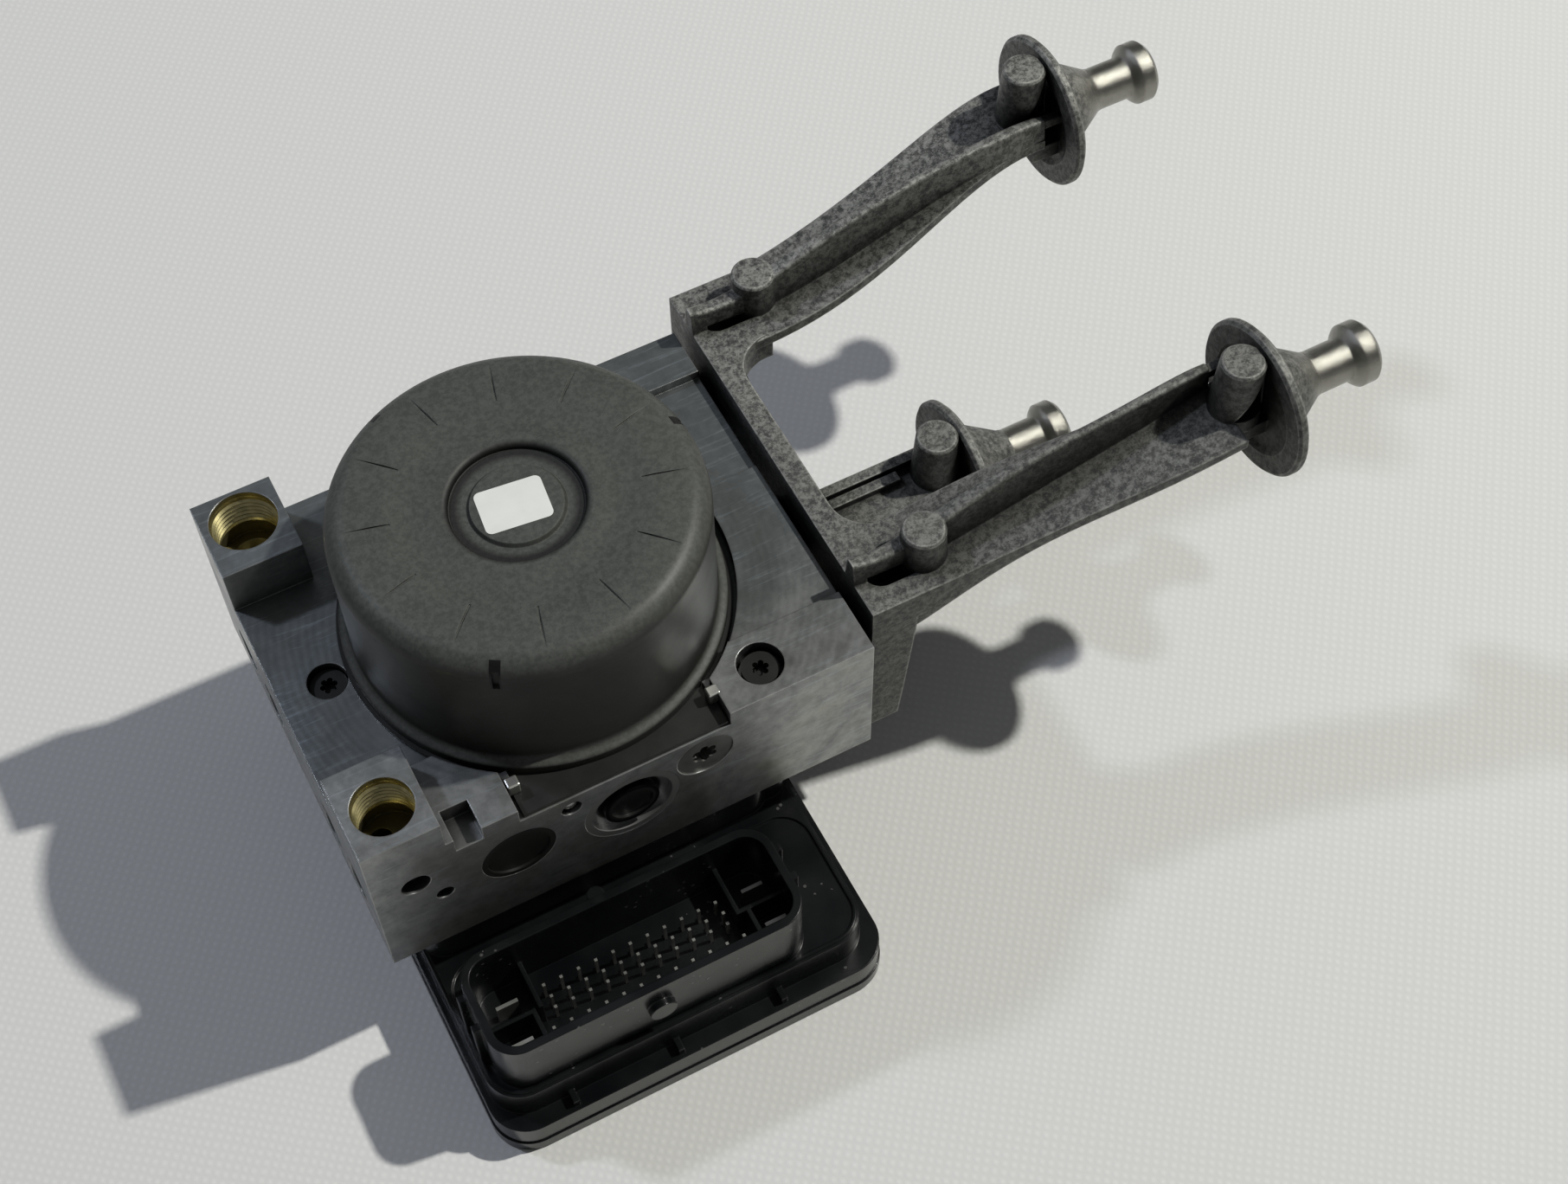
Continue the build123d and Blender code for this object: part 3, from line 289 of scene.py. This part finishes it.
def machined_block():
    """Milled aluminium with stains, scratches, cutter marks in arcs and yellowish ports, with
    painted shade and painted highlights.
    """
    made, tree, shader = material("cast_block")
    where = place(tree)
    normal = rounded(tree, 0.35)
    stain = noise(tree, where, 42, 6, 0.62, 1.4)
    fine = noise(tree, where, 300, 5, 0.65)
    base = ramp(tree, stain, (0.30, (0.20, 0.215, 0.22)), (0.50, (0.31, 0.32, 0.315)),
                (0.70, (0.42, 0.415, 0.37)))
    base = mix(tree, 0.35, base, ramp(tree, fine, (0.35, 0.16), (0.65, 0.48)))

    # painted shade: darker towards the back of the faces that look up
    _, y, _ = axes(tree, where)
    spread = maths(tree, "ADD", times(tree, y, 11.0), times(tree, stain, 0.9))
    painted_top_shade = times(tree, ramp(tree, spread, (0.02, 0.0), (0.30, 1.0)), upward(tree, 0.5, 0.9))
    base = mix(tree, times(tree, painted_top_shade, 0.55), base, (0.14, 0.165, 0.175))

    # slanting scratches lightened with a painted bluish highlight, and a painted highlight on
    # the edges
    slant = add(tree, "ShaderNodeMapping")
    slant.inputs["Rotation"].default_value = (0, 0, math.radians(35))
    slant.inputs["Scale"].default_value = (1.0, 14.0, 14.0)
    tree.links.new(where, slant.inputs["Vector"])
    streaks = noise(tree, slant.outputs["Vector"], 60, 6, 0.7, 0.6)
    scratch_and_sheen = ramp(tree, streaks, (0.54, 0.0), (0.66, 1.0))
    base = mix(tree, times(tree, scratch_and_sheen, 0.38), base, (0.46, 0.52, 0.55))
    # painted highlight, lighter on the edges
    base = mix(tree, times(tree, edges(tree, normal, 5.0), 0.6), base, (0.70, 0.70, 0.68))

    # plated ports, and painted shade in their deep part and in the corners and recesses
    base = mix(tree, both_ports(tree, where, THREAD_FOOT, PORT_LIP), base, (0.48, 0.42, 0.19))
    # painted shade, darker plating deep in the bores
    base = mix(tree, both_ports(tree, where, PORT_DEEP, THREAD_FOOT), base, (0.40, 0.35, 0.19))
    # painted shade, darkening the corners and recesses
    painted_corner_shade = ramp(tree, open_faces(tree, 9), (0.20, 0.10), (0.72, 1.0))
    base = mix(tree, 1.0, base, painted_corner_shade, "MULTIPLY")
    tree.links.new(base, shader.inputs["Base Color"])
    tree.links.new(ramp(tree, stain, (0.3, 0.46), (0.7, 0.30)), shader.inputs["Roughness"])
    shader.inputs["Metallic"].default_value = 0.9

    swirl = add(tree, "ShaderNodeTexWave", wave_type="RINGS", rings_direction="Z", Scale=190,
                Distortion=2.5, Detail=4, Detail_Scale=0.8)
    tree.links.new(where, swirl.inputs["Vector"])
    bump(tree, shader, mix(tree, 0.6, swirl.outputs["Color"], fine), 0.16, 0.0001, normal)
    return made


def coated_motor():
    """Matt greenish-grey coat on drawn steel: dusty on top, with painted shade darkening the
    side.
    """
    made, tree, shader = material("motor_coat")
    where = place(tree)
    normal = rounded(tree, 0.4)
    broad = noise(tree, where, 26, 5, 0.62, 0.8)
    grain = noise(tree, where, 900, 3, 0.7)
    speckle = ramp(tree, grain, (0.38, (0.028, 0.031, 0.028)), (0.62, (0.098, 0.103, 0.094)))
    base = ramp(tree, broad, (0.3, (0.046, 0.049, 0.044)), (0.7, (0.074, 0.078, 0.069)))
    base = mix(tree, 0.35, base, speckle)
    # painted shade: darker colour for faces that don't look up
    painted_shade_side = ramp(tree, broad, (0.35, (0.009, 0.010, 0.009)), (0.7, (0.026, 0.026, 0.022)))
    base = mix(tree, upward(tree, 0.25, 0.8), painted_shade_side, base)

    # painted shade in a ring at the recess, painted highlight on the edges and painted shade in
    # the slots
    x, y, _ = axes(tree, where)
    off_ring = maths(tree, "SUBTRACT", distance(tree, x, y), RECESS_RADIUS * MM)
    recess_shade_ring = times(tree, maths(tree, "ABSOLUTE", off_ring), 200.0)
    base = mix(tree, 1.0, base, ramp(tree, recess_shade_ring, (0.12, 0.18), (0.42, 1.0)), "MULTIPLY")
    # painted highlight, lighter on the edges
    base = mix(tree, times(tree, edges(tree, normal, 3.0), 0.5), base, (0.12, 0.125, 0.115))
    # painted shade, near black in the slots over the shoulder
    base = mix(tree, painted_slot_shade(tree, where), base, (0.002, 0.002, 0.002))
    tree.links.new(base, shader.inputs["Base Color"])
    tree.links.new(ramp(tree, broad, (0.3, 0.58), (0.7, 0.44)), shader.inputs["Roughness"])
    shader.inputs["Metallic"].default_value = 0.0
    shader.inputs["Specular IOR Level"].default_value = 0.35
    bump(tree, shader, grain, 0.2, 0.0001, normal)
    return made


def glossy_black():
    """Glossy black moulding with dust specks."""
    made, tree, shader = material("black_plastic")
    where = place(tree)
    specks = add(tree, "ShaderNodeTexVoronoi", Scale=420, Randomness=1.0)
    tree.links.new(where, specks.inputs["Vector"])
    patch = noise(tree, where, 60, 3)
    dust = times(tree, maths(tree, "LESS_THAN", specks.outputs["Distance"], 0.16),
                 maths(tree, "GREATER_THAN", patch, 0.56))
    haze = ramp(tree, patch, (0.35, (0.0025, 0.003, 0.0035)), (0.75, (0.0065, 0.0075, 0.008)))
    tree.links.new(mix(tree, dust, haze, (0.07, 0.073, 0.07)), shader.inputs["Base Color"])
    tree.links.new(ramp(tree, patch, (0.3, 0.17), (0.7, 0.30)), shader.inputs["Roughness"])
    shader.inputs["IOR"].default_value = 1.5
    tree.links.new(rounded(tree, 0.45), shader.inputs["Normal"])
    return made


def cast_bracket():
    """Mottled die casting: painted shade in its recesses, in front and on faces that don't look
    up; bright on its edges from wear and painted highlight, and where the pins rub.
    """
    made, tree, shader = material("bracket_cast")
    where = place(tree)
    normal = rounded(tree, 0.7)
    broad = noise(tree, where, 85, 7, 0.75, 1.2)
    fine = noise(tree, where, 620, 8, 0.85)
    grit = ramp(tree, fine, (0.44, (0.018, 0.019, 0.018)), (0.57, (0.33, 0.33, 0.305)))
    base = ramp(tree, broad, (0.36, (0.085, 0.088, 0.090)), (0.5, (0.16, 0.163, 0.154)),
                (0.64, (0.30, 0.30, 0.27)))
    base = mix(tree, 0.75, base, grit)

    # painted shade: darker in front, on faces that don't look up and in the troughs
    x, y, z = axes(tree, where)
    # painted shade, darker towards the front
    behind = ramp(tree, times(tree, y, 10.0), (0.0, 0.0), (0.4, 1.0))
    base = mix(tree, behind, mix(tree, 0.35, base, (0.05, 0.051, 0.048)), base)
    # painted shade on faces that don't look up
    under = mix(tree, 0.5, base, (0.035, 0.036, 0.033))
    base = mix(tree, upward(tree, -0.1, 0.75), under, base)
    # painted shade in the troughs and recesses
    free = open_faces(tree, 16)
    base = mix(tree, 1.0, base, ramp(tree, free, (0.40, 0.07), (0.93, 1.0)), "MULTIPLY")

    # bright on the edges, from wear and painted highlight, and where the pins rub
    rub_and_highlight = times(tree, ramp(tree, fine, (0.35, 0.3), (0.6, 1.0)),
                   ramp(tree, free, (0.6, 0.0), (0.9, 1.0)))
    bright = times(tree, edges(tree, normal, 5.0), rub_and_highlight)
    base = mix(tree, bright, base, (0.55, 0.55, 0.51))
    neck = UPPER_NECK_X * MM * 5
    upper = ramp(tree, times(tree, x, 5.0), (neck - 0.03, 0.0), (neck, 1.0))
    low = times(tree, maths(tree, "GREATER_THAN", x, LOW_NECK_X * MM),
                maths(tree, "LESS_THAN", z, LOW_NECK_TOP * MM))
    worn = maths(tree, "MAXIMUM", upper, low)
    base = mix(tree, times(tree, worn, 0.75), base, (0.36, 0.35, 0.31))
    tree.links.new(base, shader.inputs["Base Color"])
    rough = mix(tree, worn, ramp(tree, fine, (0.3, 0.60), (0.7, 0.40)), (0.24,) * 3)
    tree.links.new(rough, shader.inputs["Roughness"])
    tree.links.new(mix(tree, worn, (0.45,) * 3, (0.95,) * 3), shader.inputs["Metallic"])
    bump(tree, shader, fine, 0.6, 0.00025, normal)
    return made


def plain(name, colour, metallic, roughness, spread=0.25, scale=180):
    """Finish of one tone with a little noise in it."""
    made, tree, shader = material(name)
    factor = noise(tree, place(tree), scale, 3)
    dark = tuple(c * (1 - spread) for c in colour)
    light = tuple(min(1.0, c * (1 + spread)) for c in colour)
    tree.links.new(ramp(tree, factor, (0.3, dark), (0.7, light)), shader.inputs["Base Color"])
    shader.inputs["Metallic"].default_value = metallic
    shader.inputs["Roughness"].default_value = roughness
    return made


def pump_plug():
    """Turned steel plug: bright rim, dark groove and dull face, about the pump's axis."""
    made, tree, shader = material("pump_plug")
    x, _, z = axes(tree, place(tree))
    out = times(tree, distance(tree, x, maths(tree, "SUBTRACT", z, PUMP_AXIS_Z * MM)), 100.0)
    tone = ramp(tree, out, (0.0, 0.05), (0.50, 0.06), (0.55, 0.006), (0.68, 0.006), (0.74, 0.40))
    tree.links.new(tone, shader.inputs["Base Color"])
    shader.inputs["Metallic"].default_value = 0.8
    shader.inputs["Roughness"].default_value = 0.28
    return made


FINISHES = {
    "cast_block": machined_block(),
    "motor_coat": coated_motor(),
    "black_plastic": glossy_black(),
    "bracket_cast": cast_bracket(),
    "plate_steel": plain("plate_steel", (0.022, 0.023, 0.021), 0.4, 0.4),
    "steel": plain("steel", (0.26, 0.26, 0.25), 0.9, 0.35),
    "spring_steel": plain("spring_steel", (0.35, 0.35, 0.35), 0.9, 0.35),
    "copper": plain("copper", (0.60, 0.27, 0.13), 0.9, 0.35),
    "magnet": plain("magnet", (0.04, 0.04, 0.045), 0.2, 0.6),
    "grey_plastic": plain("grey_plastic", (0.12, 0.12, 0.12), 0.0, 0.5),
    "board": plain("board", (0.015, 0.08, 0.03), 0.0, 0.4),
    "contact": plain("contact", (0.55, 0.55, 0.52), 0.9, 0.3),
    "rubber": plain("rubber", (0.02, 0.02, 0.02), 0.0, 0.6),
    "carbon": plain("carbon", (0.02, 0.02, 0.02), 0.0, 0.5),
    "paper": plain("paper", (0.72, 0.73, 0.70), 0.0, 0.5, 0.04),
    "port_plating": plain("port_plating", (0.60, 0.53, 0.27), 0.9, 0.24, 0.3, 500),
    "dark_cap": plain("dark_cap", (0.010, 0.010, 0.009), 0.3, 0.45),
}

PLUG_FINISH = pump_plug()

for entry in frame["record"]["subparts"]:
    surface = NODES[entry["node"]].data
    surface.materials.clear()
    plug = entry["node"].endswith("pump_plug")
    surface.materials.append(PLUG_FINISH if plug else FINISHES[entry["material_slot"]])


# Pieces of the scene's own ---------------------------------------------------------------------


def put(name, data):
    """Links a new object to the scene."""
    made = bpy.data.objects.new(name, data)
    bpy.context.collection.objects.link(made)
    return made


def shaped(name, form, finish):
    """Object from a bmesh, with its finish."""
    mesh = bpy.data.meshes.new(name)
    form.to_mesh(mesh)
    form.free()
    mesh.materials.append(FINISHES[finish])
    return put(name, mesh)


def coils(node, joint):
    """Spring in the place of the CAD one: on the store slide it rides on the unit's body,
    elsewhere it stays where it is.
    """
    piece = put(node.replace("spring", "coils"), NODES[node].data.copy())
    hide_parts(node)
    if joint["name"].endswith("store_slide"):
        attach(piece, "unit")
        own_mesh(piece)
    else:
        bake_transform(piece)


def port_thread(name, centre, radius):
    """Helical thread of an inlet port, as a strip whose crest stands in from the bore's wall."""
    turns = round((THREAD_TOP - THREAD_FOOT) / THREAD_PITCH)
    form = bmesh.new()
    rows = []
    for i in range(turns * THREAD_STEPS + 1):
        turned = i / THREAD_STEPS
        angle = 2 * math.pi * i / THREAD_STEPS
        crest = THREAD_HEIGHT * min(1.0, turned, turns - turned)
        z = THREAD_TOP - THREAD_PITCH * i / THREAD_STEPS
        row = []
        for inset, rise in ((-THREAD_SUNK, ROOT_HALF_WIDTH), (crest, CREST_HALF_WIDTH),
                            (crest, -CREST_HALF_WIDTH), (-THREAD_SUNK, -ROOT_HALF_WIDTH)):
            r = radius - inset
            at = (centre[0] + r * math.cos(angle), centre[1] + r * math.sin(angle), z + rise)
            row.append(form.verts.new(Vector(at) * MM))
        rows.append(row)
    for one, two in zip(rows, rows[1:]):
        for k in range(3):
            form.faces.new((one[k], one[k + 1], two[k + 1], two[k]))
    piece = shaped(name, form, "port_plating")
    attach(piece, "unit")


def slab(name, outline, foot, top, finish, edge):
    """Flat piece over an outline in millimetres, with its edges rounded off."""
    form = bmesh.new()
    face = form.faces.new([form.verts.new(Vector((x, y, foot)) * MM) for x, y in outline])
    raised = bmesh.ops.extrude_face_region(form, geom=[face])
    risen = [part for part in raised["geom"] if isinstance(part, bmesh.types.BMVert)]
    bmesh.ops.translate(form, vec=(0, 0, (top - foot) * MM), verts=risen)
    bmesh.ops.recalc_face_normals(form, faces=form.faces)
    bmesh.ops.bevel(form, geom=list(form.edges), offset=edge * MM, segments=2, profile=0.5,
                    affect="EDGES")
    piece = shaped(name, form, finish)
    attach(piece, "unit")
    return piece


def sticker():
    """Bare sticker with round corners, in the place of the CAD one."""
    c, s = math.cos(STICKER_TURN), math.sin(STICKER_TURN)
    outline = []
    for quarter, (sx, sy) in enumerate(((1, 1), (-1, 1), (-1, -1), (1, -1))):
        for step in range(7):
            angle = math.radians(90 * quarter + 15 * step)
            x = sx * (STICKER_HALF[0] - STICKER_CORNER) + STICKER_CORNER * math.cos(angle)
            y = sy * (STICKER_HALF[1] - STICKER_CORNER) + STICKER_CORNER * math.sin(angle)
            outline.append((STICKER_AT[0] + x * c - y * s, STICKER_AT[1] + x * s + y * c))
    low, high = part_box("label")
    piece = slab("sticker", outline, low[2] / MM, high[2] / MM, "paper", STICKER_EDGE)
    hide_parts("label")


def plate_nib(name, x):
    """Small bright lug, staked over the motor plate's corner from the block's raised corner."""
    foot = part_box("motor_plate")[1][2] / MM
    outline = [(x + sx * NIB_HALF[0], NIB_Y + sy * NIB_HALF[1])
               for sx, sy in ((-1, -1), (1, -1), (1, 1), (-1, 1))]
    slab(name, outline, foot, foot + NIB_HEIGHT, "contact", NIB_EDGE)


for joint in JOINTS:
    for moved in joint.get("deforming_nodes", ()):
        coils(moved["node"], joint)
port_thread("front_port_thread", FRONT_PORT, FRONT_BORE)
port_thread("back_port_thread", BACK_PORT, BACK_BORE)
sticker()
plate_nib("left_plate_nib", LEFT_NIB_X)
plate_nib("right_plate_nib", RIGHT_NIB_X)


# Stage, light and camera -----------------------------------------------------------------------


def floor():
    """Pale matt sheet under the object."""
    bpy.ops.mesh.primitive_plane_add(size=FLOOR_SIZE, location=(0, 0, FLOOR_Z))
    sheet = bpy.context.object
    sheet.name = "floor"
    made, tree, shader = material("floor")
    turn = add(tree, "ShaderNodeMapping")
    turn.inputs["Rotation"].default_value = (0, 0, math.radians(38))
    tree.links.new(place(tree), turn.inputs["Vector"])
    threads = []
    for direction in ("X", "Y"):
        wave = add(tree, "ShaderNodeTexWave", bands_direction=direction, Scale=165,
                   Distortion=1.2, Detail=1)
        tree.links.new(turn.outputs["Vector"], wave.inputs["Vector"])
        threads.append(wave.outputs["Fac"])
    weave = times(tree, *threads)
    pale = ramp(tree, weave, (0.0, (0.655, 0.655, 0.64)), (1.0, (0.70, 0.70, 0.685)))
    tree.links.new(pale, shader.inputs["Base Color"])
    shader.inputs["Roughness"].default_value = 0.9
    bump(tree, shader, weave, 0.25, 0.0002)
    sheet.data.materials.append(made)


def area_light(name, at, size, power, colour):
    """Square soft light aimed at the module."""
    data = bpy.data.lights.new(name, "AREA")
    data.size = size
    data.energy = power
    data.color = colour
    lamp = put(name, data)
    lamp.location = at
    lamp.rotation_mode = "QUATERNION"
    lamp.rotation_quaternion = (AIM - at).to_track_quat("-Z", "Y")


floor()
area_light("key", KEY * 2.4, 0.06, 47, (1.0, 0.99, 0.93))
area_light("window", WINDOW * 2.0, 0.14, 9.0, (0.78, 0.84, 1.0))

world = bpy.data.worlds.new("soft")
world.use_nodes = True
sky = world.node_tree.nodes["Background"]
sky.inputs["Color"].default_value = (0.95, 0.97, 1.0, 1)
sky.inputs["Strength"].default_value = 0.11
bpy.context.scene.world = world
bpy.context.scene.view_settings.view_transform = "Standard"

lens = bpy.data.cameras.new("camera")
lens.lens = LENS
lens.sensor_width = 36
lens.clip_start = 0.01
up = CAMERA_RIGHT.cross(CAMERA_FORWARD).normalized()
forward = CAMERA_FORWARD.normalized()
right = forward.cross(up).normalized()
turn = Matrix((right, up, -forward)).transposed().to_4x4()
camera = put("camera", lens)
camera.matrix_world = Matrix.Translation(CAMERA_AT) @ turn
bpy.context.scene.camera = camera
